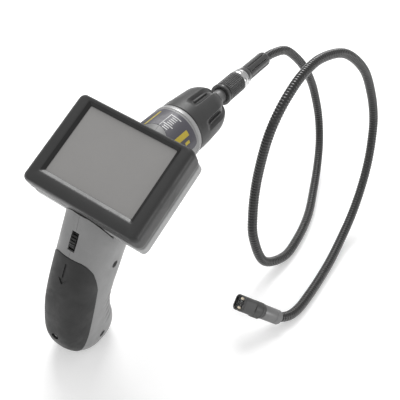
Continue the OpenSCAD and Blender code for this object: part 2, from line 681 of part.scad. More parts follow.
left_shell();
right_shell();
shell_screws();
dock_rail();
dock_contacts();
main_board();
battery_tray();
battery_cells();
battery_contacts();
dimmer_potentiometer();
barrel_label();
barrel_ring();
nose_seal();
nose_cap();
probe_socket();
dimmer_wheel();
dimmer_shaft();
battery_door();
door_pad();
door_screw();
monitor_bezel();
monitor_band();
monitor_back();
monitor_screws();
screen_window();
lcd_panel();
monitor_board();
monitor_battery();
monitor_contacts();
video_jack();
power_button();
up_button();
down_button();
coupling_nut();
nut_ring();
plug_sleeve();
plug_pin();
gooseneck_sheath();
gooseneck_core();
head_ferrule();
head_collar();
head_barrel();
head_board();
head_lens();
head_leds();
head_window();
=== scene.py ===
import math

import bmesh
import bpy
import numpy as np
from mathutils import Matrix, Vector


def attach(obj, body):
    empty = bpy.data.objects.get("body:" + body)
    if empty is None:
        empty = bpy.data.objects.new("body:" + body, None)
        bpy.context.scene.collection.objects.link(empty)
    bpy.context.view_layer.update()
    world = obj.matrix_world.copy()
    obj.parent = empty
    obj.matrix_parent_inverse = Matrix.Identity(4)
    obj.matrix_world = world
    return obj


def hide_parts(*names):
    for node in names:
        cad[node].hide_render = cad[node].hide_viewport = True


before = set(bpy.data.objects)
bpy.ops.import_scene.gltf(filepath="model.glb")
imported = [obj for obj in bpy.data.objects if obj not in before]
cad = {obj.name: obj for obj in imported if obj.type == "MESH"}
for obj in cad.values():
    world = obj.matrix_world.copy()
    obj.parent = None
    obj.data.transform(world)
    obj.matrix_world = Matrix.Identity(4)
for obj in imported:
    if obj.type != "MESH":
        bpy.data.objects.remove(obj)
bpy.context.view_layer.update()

# ---- Camera ----
# It looks down from behind the tool's right side, a little rolled, with a long lens.
camera = bpy.data.objects.new("camera", bpy.data.cameras.new("camera"))
camera.data.lens = 63
camera.data.sensor_width = 36
camera_back = Vector((0.32824, -0.63942, 0.69527))
camera_roll = math.radians(8.94)
camera.matrix_world = (
    Matrix.Translation((0.20628, -0.23637, 0.46011))
    @ camera_back.to_track_quat("Z", "Y").to_matrix().to_4x4()
    @ Matrix.Rotation(camera_roll, 4, "Z")
)
bpy.context.scene.collection.objects.link(camera)
bpy.context.scene.camera = camera

# ---- Bendable tube ----
# A wound steel tube in a ribbed, glossy black vinyl sheath. It is pressed into the fluted
# sleeve at one end and into the camera head's ferrule at the other, and keeps its bends.
MM = 0.001
tube_route = [
    (0, .243, .135), (.001, .257, .134), (.004, .277, .129), (.010, .292, .117), (.017, .303, .103),
    (.022, .311, .089), (.027, .317, .074), (.037, .320, .048), (.048, .311, .027), (.059, .291, .014),
    (.070, .264, .007), (.081, .232, .0049), (.087, .200, .0048), (.088, .171, .0055), (.080, .144, .018),
    (.069, .136, .046), (.062, .140, .067), (.057, .146, .088), (.055, .150, .109), (.054, .155, .130),
    (.054, .163, .147), (.054, .177, .160), (.054, .197, .168), (.056, .224, .170), (.064, .255, .163),
    (.076, .279, .142), (.086, .291, .116), (.095, .294, .091), (.102, .288, .070), (.108, .277, .052),
    (.113, .262, .034), (.117, .243, .019), (.120, .220, .0095), (.123, .193, .0055), (.1246, .166, .0043),
    (.125, .146, .0043), (.1246, .1295, .0045), (.122, .1165, .006), (.1163, .1064, .0092)]
head_yaw, head_pitch, head_roll = (math.radians(a) for a in (223.5, 34, 40))
head_heading = np.array([math.cos(head_pitch) * math.cos(head_yaw),
                         math.cos(head_pitch) * math.sin(head_yaw), math.sin(head_pitch)])
tube_radius = 4.04 * MM
rib_pitch = 2.4 * MM
rib_depth = 0.5 * MM
# Where the rings of one rib stand, as shares of the pitch, and how deep each is
rib_rings = [(0, 1), (0.1, 0.55), (0.24, 0.1), (0.5, 0), (0.76, 0.1), (0.9, 0.55)]


def smooth_path(points, steps):
    """A Catmull-Rom curve through the points."""
    p = np.array(points, float)
    ends = np.vstack([p[0], p, p[-1]])
    out = []
    for a, b, c, d in zip(ends[:-3], ends[1:-2], ends[2:-1], ends[3:]):
        for t in np.arange(steps) / steps:
            out.append(0.5 * (2 * b + (c - a) * t + (2 * a - 5 * b + 4 * c - d) * t ** 2
                              + (3 * b - a - 3 * c + d) * t ** 3))
    return np.array(out + [p[-1]])


def new_piece(name, vertices, faces, angle=35):
    """A smooth-shaded mesh object whose edges stay crisp above the angle, in degrees."""
    mesh = bpy.data.meshes.new(name)
    mesh.from_pydata([tuple(v) for v in vertices], [], faces)
    work = bmesh.new()
    work.from_mesh(mesh)
    bmesh.ops.remove_doubles(work, verts=work.verts, dist=1e-7)
    bmesh.ops.dissolve_degenerate(work, edges=work.edges, dist=1e-7)
    bmesh.ops.recalc_face_normals(work, faces=work.faces)
    work.to_mesh(mesh)
    work.free()
    mesh.shade_smooth()
    mesh.set_sharp_from_angle(angle=math.radians(angle))
    piece = bpy.data.objects.new(name, mesh)
    bpy.context.scene.collection.objects.link(piece)
    return piece


def loft(name, rings, loop=False, angle=35):
    """A closed solid through rings of points: its ends are capped, or joined if it loops."""
    rings = np.asarray(rings, float)
    count, sides = rings.shape[:2]
    faces = []
    for k in range(count if loop else count - 1):
        a, b = k * sides, (k + 1) % count * sides
        for i in range(sides):
            j = (i + 1) % sides
            faces.append((a + i, a + j, b + j, b + i))
    if not loop:
        faces += [tuple(range(sides)), tuple(range((count - 1) * sides, count * sides))]
    return new_piece(name, rings.reshape(-1, 3), faces, angle)


path = smooth_path(tube_route, 24)
along = np.concatenate([[0], np.cumsum(np.linalg.norm(np.diff(path, axis=0), axis=1))])
tube_length = along[-1]
rib_count = int(tube_length / rib_pitch)
stations = [((k + share) * tube_length / rib_count, depth)
            for k in range(rib_count) for share, depth in rib_rings]
stations.append((tube_length, 1))
at = np.array([s for s, _ in stations])
centres = np.stack([np.interp(at, along, path[:, i]) for i in range(3)], 1)
heading = np.gradient(centres, axis=0)
heading /= np.linalg.norm(heading, axis=1)[:, None]
heading[0] = (0, 1, 0)
straight_end = 6 * MM
near_end = np.clip((at - (tube_length - straight_end)) / straight_end, 0, 1)[:, None]
heading = heading * (1 - near_end) + head_heading * near_end
heading /= np.linalg.norm(heading, axis=1)[:, None]
tube_sides = 20
side = np.array([1.0, 0, 0])
tube_rings = []
for centre, forward, (_, depth) in zip(centres, heading, stations):
    side = side - side.dot(forward) * forward
    side /= np.linalg.norm(side)
    turn = np.arange(tube_sides)[:, None] * math.tau / tube_sides
    ring = np.cos(turn) * side + np.sin(turn) * np.cross(forward, side)
    tube_rings.append(centre + (tube_radius - depth * rib_depth) * ring)
tube = loft("gooseneck", tube_rings, angle=80)


def node_group(name, inputs, outputs):
    """An empty shader group with its own input and output nodes."""
    group = bpy.data.node_groups.new(name, "ShaderNodeTree")
    for label, value in inputs.items():
        socket = group.interface.new_socket(label, in_out="INPUT", socket_type="NodeSocketFloat")
        socket.default_value = value
    for label in outputs:
        group.interface.new_socket(label, in_out="OUTPUT", socket_type="NodeSocketFloat")
    return group, group.nodes.new("NodeGroupInput"), group.nodes.new("NodeGroupOutput")


def add_node(tree, kind, links=None, **values):
    """A node with its settings and its input values or links."""
    node = tree.nodes.new(kind)
    for key, value in values.items():
        setattr(node, key, value)
    for socket, value in (links or {}).items():
        if isinstance(value, bpy.types.NodeSocket):
            tree.links.new(value, node.inputs[socket])
        else:
            node.inputs[socket].default_value = value
    return node


# Moulded grain: the fine pitted texture of spark-eroded tooling, as a height
grain_group, grain_in, grain_out = node_group("moulded_grain", {"Size": 0.5 * MM}, ["Height"])
place = add_node(grain_group, "ShaderNodeTexCoord")
per_size = add_node(grain_group, "ShaderNodeMath", {0: 1.0, 1: grain_in.outputs["Size"]}, operation="DIVIDE")
fine = add_node(grain_group, "ShaderNodeTexNoise", {"Vector": place.outputs["Object"],
                                                    "Scale": per_size.outputs[0], "Detail": 3.0,
                                                    "Roughness": 0.6})
pits = add_node(grain_group, "ShaderNodeTexVoronoi", {"Vector": place.outputs["Object"],
                                                      "Scale": per_size.outputs[0]})
both = add_node(grain_group, "ShaderNodeMath", {0: fine.outputs["Fac"], 1: pits.outputs["Distance"]},
                operation="ADD")
grain_group.links.new(both.outputs[0], grain_out.inputs["Height"])

# Handling: broad, soft patches where hands have polished the surface or left a haze
touch_group, touch_in, touch_out = node_group("handling_marks", {"Size": 14 * MM}, ["Patches"])
place = add_node(touch_group, "ShaderNodeTexCoord")
per_size = add_node(touch_group, "ShaderNodeMath", {0: 1.0, 1: touch_in.outputs["Size"]}, operation="DIVIDE")
broad = add_node(touch_group, "ShaderNodeTexNoise", {"Vector": place.outputs["Object"],
                                                     "Scale": per_size.outputs[0], "Detail": 5.0,
                                                     "Roughness": 0.65, "Distortion": 0.4})
spread = add_node(touch_group, "ShaderNodeMapRange", {"Value": broad.outputs["Fac"], "From Min": 0.35,
                                                      "From Max": 0.68})
touch_group.links.new(spread.outputs["Result"], touch_out.inputs["Patches"])

# Edge wear: outer edges rub lighter, broken up by fine noise
wear_group, wear_in, wear_out = node_group("edge_wear", {"Amount": 0.5}, ["Worn"])
shape = add_node(wear_group, "ShaderNodeNewGeometry")
place = add_node(wear_group, "ShaderNodeTexCoord")
edge = add_node(wear_group, "ShaderNodeMapRange", {"Value": shape.outputs["Pointiness"], "From Min": 0.52,
                                                   "From Max": 0.6})
chips = add_node(wear_group, "ShaderNodeTexNoise", {"Vector": place.outputs["Object"], "Scale": 900.0,
                                                    "Detail": 4.0})
broken = add_node(wear_group, "ShaderNodeMath", {0: edge.outputs["Result"], 1: chips.outputs["Fac"]},
                  operation="MULTIPLY")
scaled = add_node(wear_group, "ShaderNodeMath", {0: broken.outputs[0], 1: wear_in.outputs["Amount"]},
                  operation="MULTIPLY", use_clamp=True)
wear_group.links.new(scaled.outputs[0], wear_out.inputs["Worn"])


def grey(level, warmth=0.0):
    """A linear colour from a grey level of 0 to 255 as seen, and how warm or cool it is."""
    base = (level / 255) ** 2.2
    return (base * (1 + warmth), base, base * (1 - warmth), 1.0)


def finish(name, colour, rough, worn=None, grain=0.45 * MM, depth=0.02 * MM, wear=0.5, patchy=0.08,
           metal=0.0, coat=0.0):
    """A surface with grain, handling marks and worn edges round one Principled shader."""
    material = bpy.data.materials.new(name)
    material.use_nodes = True
    tree = material.node_tree
    shader = tree.nodes["Principled BSDF"]
    shader.inputs["Metallic"].default_value = metal
    shader.inputs["Coat Weight"].default_value = coat
    shader.inputs["Coat Roughness"].default_value = 0.12
    marks = add_node(tree, "ShaderNodeGroup", node_tree=touch_group)
    worn_edges = add_node(tree, "ShaderNodeGroup", {"Amount": wear}, node_tree=wear_group)
    pitted = add_node(tree, "ShaderNodeGroup", {"Size": grain}, node_tree=grain_group)
    lighter = tuple(min(1.0, c * (1 + 1.5 * patchy)) for c in colour[:3]) + (1.0,)
    worn = worn or tuple(min(1.0, c * 1.8 + 0.02) for c in colour[:3]) + (1.0,)
    tone = add_node(tree, "ShaderNodeMix", {0: marks.outputs["Patches"]}, data_type="RGBA")
    tone.inputs[6].default_value = colour
    tone.inputs[7].default_value = lighter
    rubbed = add_node(tree, "ShaderNodeMix", {0: worn_edges.outputs["Worn"], 6: tone.outputs[2]},
                      data_type="RGBA")
    rubbed.inputs[7].default_value = worn
    tree.links.new(rubbed.outputs[2], shader.inputs["Base Color"])
    polish = add_node(tree, "ShaderNodeMapRange", {"Value": marks.outputs["Patches"],
                                                   "To Min": rough + patchy,
                                                   "To Max": max(0.03, rough - patchy)})
    tree.links.new(polish.outputs["Result"], shader.inputs["Roughness"])
    bump = add_node(tree, "ShaderNodeBump", {"Height": pitted.outputs["Height"], "Distance": depth,
                                             "Strength": 0.6})
    tree.links.new(bump.outputs["Normal"], shader.inputs["Normal"])
    return material


def dress(piece, material, body=None, replaces=()):
    """Gives a piece its material and says where it belongs."""
    piece.data.materials.clear()
    piece.data.materials.append(material)
    if body:
        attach(piece, body)
    if replaces:
        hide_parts(*replaces)
    return piece


sheath_vinyl = finish("sheath_vinyl", grey(22), 0.3, wear=0.25, grain=0.3 * MM, depth=0.006 * MM, coat=0.55)
dress(tube, sheath_vinyl, "probe", ["gooseneck_sheath"])
wound_steel = finish("wound_steel", grey(130), 0.35, metal=1.0)
dress(cad["gooseneck_core"], wound_steel)

# ---- Camera head ----
# A square-fronted metal barrel with a sealed window over a small camera and two diodes. It
# screws to a plain ferrule crimped on the tube, and a loose collar between them holds
# accessories.
at_head = (
    Matrix.Translation(tube_route[-1])
    @ Matrix.Rotation(head_yaw, 4, "Z")
    @ Matrix.Rotation(-head_pitch, 4, "Y")
    @ Matrix.Rotation(math.pi / 2, 4, "Y")
    @ Matrix.Rotation(head_roll, 4, "Z")
)
ferrule_end = 19.2
collar_start, collar_end = 19.4, 30.2
barrel_start, barrel_end = 30.4, 43.3
head_half = 6.3


def turned(name, profile, sides=64, place=at_head, shape=None, angle=35):
    """A turned piece from (radius, height) in millimetres. shape changes a radius by angle and height."""
    rings = []
    for radius, height in profile:
        ring = []
        for i in range(sides):
            a = i * math.tau / sides
            r = radius if shape is None else shape(radius, a, height)
            ring.append(place @ Vector((r * math.cos(a), r * math.sin(a), height)))
        rings.append(ring)
    return loft(name, rings, angle=angle)


in_mm = Matrix.Scale(MM, 4)


def squircle(half, corner, sides=48):
    """A square with round corners, as points round its centre."""
    points = []
    for i in range(sides):
        a = (i + 0.5) * math.tau / sides
        quarter = int(a // (math.pi / 2))
        cx = (half - corner) * (1 if quarter in (0, 3) else -1)
        cy = (half - corner) * (1 if quarter in (0, 1) else -1)
        points.append((cx + corner * math.cos(a), cy + corner * math.sin(a)))
    return points


head_place = at_head @ in_mm
ferrule = turned("ferrule", [(4.3, 0), (5.2, 0), (5.7, 0.3), (6, 1), (6, 5.6), (5.8, 5.8), (5.8, 6.2),
                             (6, 6.4), (6, 18.4), (5.8, 18.9), (5.2, ferrule_end), (3, ferrule_end)],
                 place=head_place)
satin_steel = finish("satin_steel", grey(108), 0.42, wear=0.5, metal=0.35, depth=0.008 * MM)
dress(ferrule, satin_steel, "probe", ["head_ferrule"])

collar = turned("accessory_collar", [(5.0, collar_start), (5.9, collar_start), (6.4, collar_start + 0.5),
                                     (6.4, 22.4), (6.15, 22.6), (6.15, 23.2), (6.4, 23.4), (6.4, 29.4),
                                     (6.1, 30), (5.4, collar_end), (5.0, collar_end)], place=head_place)
tab_rings = []
for z, half in ((21.2, 1.6), (21.5, 2.0), (28.3, 2.0), (28.6, 1.6)):
    tab_rings.append([head_place @ Vector((x, y, z)) for x, y in
                      ((4.2, -half), (6.8, -half), (7.0, -half + 0.3),
                       (7.0, half - 0.3), (6.8, half), (4.2, half))])
tab = loft("collar_tab", tab_rings)
dark_anodised = finish("dark_anodised", grey(66), 0.45, wear=0.5, metal=0.25, depth=0.01 * MM)
dress(collar, dark_anodised, "head_collar", ["head_collar"])
dress(tab, dark_anodised, "head_collar")

barrel_rings = [[head_place @ Vector((x, y, z)) for x, y in squircle(half, corner)] for half, corner, z in (
    (5.4, 3.0, barrel_start), (6.0, 3.3, barrel_start + 0.1), (head_half, 3.4, barrel_start + 0.5),
    (head_half, 3.4, 41.9), (6.1, 3.3, 42.0), (6.1, 3.3, 42.2), (head_half, 3.4, 42.3),
    (head_half, 3.4, 42.8), (6.1, 3.3, 43.1), (5.7, 3.1, barrel_end), (5.3, 2.9, 43.2), (5.1, 2.7, 42.5),
    (5.1, 2.7, 41.0), (2.0, 1.2, 41.0))]
head_barrel = loft("head_barrel_shell", barrel_rings)
dress(head_barrel, dark_anodised, "probe", ["head_barrel"])

lens_profile = [(3.0, 40.6), (3.0, 41.5), (2.75, 41.9), (2.5, 41.9), (2.2, 41.3), (1.9, 41.3), (1.7, 41.8),
                (1.1, 42.05), (0.4, 42.12)]
lens = turned("camera_lens", lens_profile, sides=48, place=head_place, angle=50)
lens_glass = finish("lens_glass", grey(14), 0.06, wear=0.0, depth=0.0005 * MM, patchy=0.01, coat=1.0)
dress(lens, lens_glass, "probe", ["head_lens", "head_board"])

diode_wax = finish("diode_wax", (0.92, 0.80, 0.62, 1.0), 0.3, wear=0.0, depth=0.01 * MM, coat=0.5)
diode_shader = diode_wax.node_tree.nodes["Principled BSDF"]
diode_shader.inputs["Emission Color"].default_value = (1.0, 0.86, 0.66, 1.0)
diode_shader.inputs["Emission Strength"].default_value = 0.35
for number, sign in enumerate((-1, 1), 1):
    seat = head_place @ Matrix.Translation((sign * 3.75, 0, 0)) @ Matrix.Diagonal((0.8, 1.35, 1, 1))
    diode = turned(f"diode_{number}", [(1.25, 40.9), (1.25, 41.6), (1.1, 41.9), (0.75, 42.1), (0.3, 42.2)],
                   sides=32, place=seat, angle=60)
    dress(diode, diode_wax, "probe", ["head_leds"])
clear_window = bpy.data.materials.new("clear_window")
clear_window.use_nodes = True
window_shader = clear_window.node_tree.nodes["Principled BSDF"]
window_shader.inputs["Transmission Weight"].default_value = 1.0
window_shader.inputs["IOR"].default_value = 1.15
smears = add_node(clear_window.node_tree, "ShaderNodeGroup", {"Size": 3 * MM}, node_tree=touch_group)
smeared = add_node(clear_window.node_tree, "ShaderNodeMapRange", {"Value": smears.outputs["Patches"],
                                                                  "To Min": 0.02, "To Max": 0.1})
clear_window.node_tree.links.new(smeared.outputs["Result"], window_shader.inputs["Roughness"])
dress(cad["head_window"], clear_window)

# ---- Fluted sleeve and coupling nut ----
# The tube ends in a moulded sleeve with a collar and lengthwise flutes. A knurled metal nut
# with a polished band turns on its stem and draws the plug onto the handset's socket.
barrel_z = 135
on_barrel = Matrix.Translation((0, 0, barrel_z * MM)) @ Matrix.Rotation(-math.pi / 2, 4, "X") @ in_mm
nut_start, nut_end, nut_radius = 172, 205, 8.6
band_start = nut_end - 7
sleeve_start, sleeve_end, sleeve_radius = 206, 243, 6.5
knurl_count = 36
flute_count = 8


def ramp(x, low, high):
    """Goes smoothly from 0 at low to 1 at high."""
    t = min(1.0, max(0.0, (x - low) / (high - low)))
    return t * t * (3 - 2 * t)


def steps(start, end, count):
    """Even places from start to end."""
    return [start + (end - start) * k / (count - 1) for k in range(count)]


def fluted(radius, a, y):
    """The sleeve's flutes: narrow valleys between broad lands, which run out at both ends."""
    run = ramp(y, sleeve_start + 6, sleeve_start + 7.5) * (1 - ramp(y, sleeve_end - 4, sleeve_end - 2))
    valley = max(0.0, math.cos(flute_count * a)) ** 6
    return radius - 0.9 * run * valley


sleeve_profile = [(4.4, sleeve_start), (6.6, sleeve_start), (7.0, sleeve_start + 0.4),
                  (7.0, sleeve_start + 4), (6.7, sleeve_start + 4.5), (6.0, sleeve_start + 4.7),
                  (6.0, sleeve_start + 5.4), (sleeve_radius, sleeve_start + 5.7)]
sleeve_profile += [(sleeve_radius, y) for y in steps(sleeve_start + 6, sleeve_end - 2, 20)]
sleeve_profile += [(6.2, sleeve_end - 0.9), (5.6, sleeve_end - 0.2), (4.9, sleeve_end), (3.0, sleeve_end)]
sleeve = turned("fluted_sleeve", sleeve_profile, sides=192, place=on_barrel, shape=fluted)
sleeve_plastic = finish("sleeve_plastic", grey(44), 0.26, wear=0.45, coat=0.5)
dress(sleeve, sleeve_plastic, "probe", ["plug_sleeve"])
stem = turned("plug_stem", [(2.0, 174.4), (4.1, 174.4), (4.5, 174.9), (4.5, 185.3), (6.1, 185.3),
                            (6.4, 185.6), (6.4, 188), (6.1, 188.5), (4.5, 188.5), (4.5, 206.5),
                            (2.0, 206.5)], place=on_barrel)
dress(stem, sleeve_plastic, "probe")


def knurled(radius, a, y):
    """Straight knurling on the middle of the nut."""
    run = ramp(y, nut_start + 4.2, nut_start + 5) * (1 - ramp(y, band_start - 2.2, band_start - 1.4))
    return radius - 0.38 * run * (0.5 - 0.5 * math.cos(knurl_count * a)) ** 2


socket_bore, stem_bore = 5.56, 4.56
nut_profile = [(socket_bore, nut_start + 0.3), (8.2, nut_start), (8.9, nut_start + 0.4),
               (8.9, nut_start + 2.6), (8.5, nut_start + 3), (7.9, nut_start + 3.2),
               (7.9, nut_start + 3.7), (nut_radius, nut_start + 4.1)]
nut_profile += [(nut_radius, y) for y in steps(nut_start + 4.3, band_start - 1.3, 26)]
nut_profile += [(8.3, band_start - 0.9), (7.4, band_start - 0.8), (6.6, band_start - 0.8),
                (6.6, nut_end - 0.2), (6.3, nut_end), (stem_bore, nut_end), (stem_bore, 189.1),
                (6.5, 189.1), (6.5, 184.2), (socket_bore, 184.2)]
nut = turned("knurled_nut", nut_profile, sides=288, place=on_barrel, shape=knurled)
# The nut is hollow, so its two caps give way to a bore that joins the profile's ends
bored = bmesh.new()
bored.from_mesh(nut.data)
caps = [f for f in bored.faces if len(f.verts) > 4]
bmesh.ops.delete(bored, geom=caps, context="FACES_ONLY")
bmesh.ops.bridge_loops(bored, edges=[e for e in bored.edges if e.is_boundary])
bmesh.ops.recalc_face_normals(bored, faces=bored.faces)
bored.to_mesh(nut.data)
bored.free()
nut_metal = finish("nut_metal", grey(72), 0.3, worn=grey(120), wear=0.8, metal=0.55, depth=0.008 * MM)
dress(nut, nut_metal, "coupling_nut", ["coupling_nut"])

band_profile = [(6.7, band_start - 0.6), (7.9, band_start - 0.6), (8.3, band_start - 0.2),
                (8.5, band_start + 0.6), (8.5, band_start + 3.4), (8.2, band_start + 3.9),
                (7.7, band_start + 4.1), (7.7, band_start + 4.9), (8.1, band_start + 5.2),
                (8.1, nut_end - 0.8), (7.6, nut_end - 0.1), (6.7, nut_end - 0.1)]
band = turned("polished_band", band_profile, sides=128, place=on_barrel)
polished = finish("polished_metal", grey(200), 0.16, wear=0.2, metal=1.0, grain=0.2 * MM, depth=0.002 * MM)
dress(band, polished, "coupling_nut", ["nut_ring"])
gold = finish("gold_plate", (0.75, 0.55, 0.22, 1.0), 0.25, metal=1.0, depth=0.002 * MM)
for name in ("plug_pin", "dock_contacts", "monitor_contacts"):
    dress(cad[name], gold)
dress(cad["probe_socket"], satin_steel)

# ---- Nose cap ----
# A satin charcoal moulding that turns the barrel down to the probe's socket. Six scooped
# grip flutes run out of its front, each with a thin raised rib on its floor.
nose_start, nose_end, nose_radius = 112.6, 160.4, 21.3
nose_flutes = 6
flute_turn = math.radians(36)


def nose_outline(y):
    """The cap's radius along its length, before the flutes."""
    t = (y - nose_start) / (nose_end - nose_start)
    return nose_radius - 1.1 * ramp(t, 0.2, 0.65) - 10.8 * max(0.0, (t - 0.55) / 0.45) ** 2.4


def scooped(radius, a, y):
    """The cap's grip flutes, each with its rib."""
    turn = (a - flute_turn + math.pi / nose_flutes) % (math.tau / nose_flutes) - math.pi / nose_flutes
    across = abs(turn) * nose_radius
    length = ramp(y, nose_start + 9, nose_start + 17)
    depth = 2.6 * length * (1 - ramp(across, 2.2, 5.0))
    rib = 1.5 * ramp(y, nose_start + 13, nose_start + 14.5) * (1 - ramp(y, nose_start + 32, nose_start + 34))
    return radius - depth + rib * (1 - ramp(across, 0.45, 0.85))


nose_profile = [(16.0, nose_start), (nose_radius - 1.0, nose_start), (nose_radius - 0.3, nose_start + 0.25),
                (nose_radius, nose_start + 0.9)]
nose_profile += [(nose_outline(y), y) for y in steps(nose_start + 1.4, nose_end - 0.3, 90)]
nose_profile += [(9.0, nose_end), (socket_bore, nose_end), (socket_bore, nose_end - 6)]
nose = turned("nose_moulding", nose_profile, sides=432, place=on_barrel, shape=scooped, angle=50)
nose_plastic = finish("nose_plastic", grey(52), 0.4, wear=0.5, depth=0.012 * MM)
dress(nose, nose_plastic, "handset", ["nose_cap"])
seal_rubber = finish("seal_rubber", grey(8), 0.6, wear=0.1)
for name in ("nose_seal", "door_pad"):
    dress(cad[name], seal_rubber)

# ---- Bright ring ----
# A satin silver trim ring pressed over the barrel's front edge, between label and nose cap.
ring_start = 107.8
ring_profile = [(19.25, ring_start + 0.4), (21.52, ring_start), (21.8, ring_start + 0.15),
                (21.9, ring_start + 0.5), (21.9, ring_start + 3.2), (21.7, ring_start + 3.7),
                (21.3, ring_start + 4), (19.25, ring_start + 4)]
ring = turned("trim_ring", ring_profile, sides=160, place=on_barrel)
satin_silver = finish("satin_silver", grey(150), 0.4, wear=0.3, metal=0.35, grain=0.3 * MM, depth=0.004 * MM)
dress(ring, satin_silver, "handset", ["barrel_ring"])

# ---- Handset shells ----
# Two satin grey mouldings that meet on the middle plane and are screwed together from the
# right: the grip flares up into the barrel, and a flat dock under the monitor carries the rail.
grip_height, grip_half, shell_wall = 133, 19, 2.2
barrel_radius, barrel_front = 21.5, ring_start + 0.2
grip_round = 2.5
# Height share, back, front and how far the side is drawn in, in millimetres
grip_stations = [
    (0, -4, 17, 8), (.015, -9, 22, 4.5), (.045, -14.5, 27, 2.5), (.09, -19, 29, 1.2), (.15, -23, 28.5, .6),
    (.24, -25.5, 25.5, .2), (.35, -25, 24.5, 0), (.45, -23.5, 28, -.2), (.565, -19.5, 35, -.4),
    (.68, -14, 42, -.6), (.79, -8, 50, -1.2), (.89, -2.5, 60, -2), (1, 2.5, 72, -2.5)]
finger_grooves, groove_depth = (27, 34, 41, 48, 55), 1.1
screen_centre = Vector((0, 33, 159.5))
tilt = math.radians(29)
dock_gap = 0.4
dock_level = -28 - dock_gap
monitor_low = -38.6


def round_power(c):
    """Turns a sine or cosine into the grip's squarer oval."""
    return math.copysign(abs(c) ** (2 / grip_round), c)


def grip_loft(name, inset, sides=96, grooves=False):
    """The grip's form, drawn in by inset all round."""
    rings = []
    for share, back, front, drawn in smooth_path(grip_stations, 14):
        z = inset + share * (grip_height - inset)
        middle, deep, wide = (back + front) / 2, (front - back) / 2 - inset, grip_half - drawn - inset
        ring = []
        for i in range(sides):
            a = i * math.tau / sides
            c, s = round_power(math.cos(a)), round_power(math.sin(a))
            dip = 0.0
            if grooves:
                dip = groove_depth * ramp(s, 0.2, 0.6) * sum(math.exp(-(z - g) ** 2) for g in finger_grooves)
            ring.append(Vector(((wide - dip) * c, middle + (deep - dip) * s, z)) * MM)
        rings.append(ring)
    return loft(name, rings)


def prism(name, outline, low, high, place):
    """An outline of (u, v) points pushed along w from low to high, in millimetres."""
    return loft(name, [[place @ Vector((u, v, w)) for u, v in outline] for w in (low, high)])


def box_piece(name, x, y, z, place=in_mm):
    """A cutting block between two places on each axis."""
    return prism(name, [(x[0], y[0]), (x[1], y[0]), (x[1], y[1]), (x[0], y[1])], z[0], z[1], place)


def shape_with(piece, tool, how="DIFFERENCE"):
    """Cuts the tool out of the piece, or joins or overlaps them, for good."""
    change = piece.modifiers.new("shape", "BOOLEAN")
    change.operation = how
    change.solver = "MANIFOLD"
    change.object = tool
    bpy.context.view_layer.update()
    result = bpy.data.meshes.new_from_object(piece.evaluated_get(bpy.context.evaluated_depsgraph_get()))
    piece.modifiers.clear()
    piece.data = result
    bpy.data.objects.remove(tool)
    return piece


def crisp(piece):
    """Drops slivers, then shades smooth with crisp edges."""
    work = bmesh.new()
    work.from_mesh(piece.data)
    bmesh.ops.remove_doubles(work, verts=work.verts, dist=2e-6)
    bmesh.ops.dissolve_degenerate(work, edges=work.edges, dist=1e-6)
    work.to_mesh(piece.data)
    work.free()
    piece.data.shade_smooth()
    piece.data.set_sharp_from_angle(angle=math.radians(35))
    return piece


on_screen = Matrix.Translation(screen_centre * MM) @ Matrix.Rotation(tilt, 4, "X") @ in_mm
# Looks along X: u is Y, v is Z and w is X
side_on = Matrix(((0, 0, MM, 0), (MM, 0, 0, 0), (0, MM, 0, 0), (0, 0, 0, 1)))


def monitor_space(inset):
    """The room that the monitor and its path take from the handset."""
    return box_piece("dock", (-90, 90), (monitor_low - dock_gap - inset, 150), (dock_level - inset, 150),
                     on_screen)


def handset_form(name, inset, front, grooves=False):
    """Grip and barrel in one, cut flat for the monitor."""
    form = grip_loft(name, inset, grooves=grooves)
    barrel = turned("barrel", [(barrel_radius - inset, 30), (barrel_radius - inset, front)], sides=128,
                    place=on_barrel)
    shape_with(form, barrel, "UNION")
    return shape_with(form, monitor_space(inset))


def door_outline(grow):
    """The battery door's edge seen from the side: level at the top, round a soft corner and down."""
    top, middle, front = 0.77 * grip_height, 0.57 * grip_height, -1.5 + grow
    door_lean = math.radians(11)
    return [(-60, top + grow), (-9, top + grow), (-7.6 + grow, top - 0.8 + grow),
            (-6.4 + grow, top - 2.6 + grow), (-5.3 + grow, top - 5), (-4.4 + grow, top - 7.5),
            (-3.4 + grow, middle + 16.5), (-2.7 + grow, middle + 12), (-2.1 + grow, middle + 8),
            (-1.8 + grow, middle + 5), (front, middle),
            (front - math.tan(door_lean) * (middle + 20), -20), (-60, -20)]


def well_place(y, z):
    """A side screw's own line, from the middle plane out to the right."""
    return Matrix.Translation((0, y * MM, z * MM)) @ Matrix.Rotation(math.pi / 2, 4, "Y") @ in_mm


shells = handset_form("handset_shells", 0, barrel_front, grooves=True)
shape_with(shells, handset_form("hollow", shell_wall, barrel_front + 1))
shape_with(shells, prism("door_way", door_outline(0), -40, 40, side_on))
slot_centre = Vector((0, -4.2, 0.857 * grip_height))
wheel_lean = math.radians(-22)
at_slot = Matrix.Translation(slot_centre * MM) @ Matrix.Rotation(wheel_lean, 4, "X") @ in_mm
shape_with(shells, box_piece("slot", (-2.85, 2.85), (-12, 9), (-7.4, 7.4), at_slot))
screw_places = [(16, 0.655 * grip_height), (5.5, 0.115 * grip_height), (80, barrel_z - 0.6 * barrel_radius)]
for y, z in screw_places:
    shape_with(shells, turned("well", [(2.9, 9), (2.9, 40)], sides=48, place=well_place(y, z)))
shape_with(shells, box_piece("rail_slot", (-6.1, 6.1), (-22.1, 14.1), (-42, -27), on_screen))
satin_grey = finish("satin_grey", grey(124), 0.42, wear=0.25, depth=0.012 * MM, patchy=0.06)
half_gap = 0.09
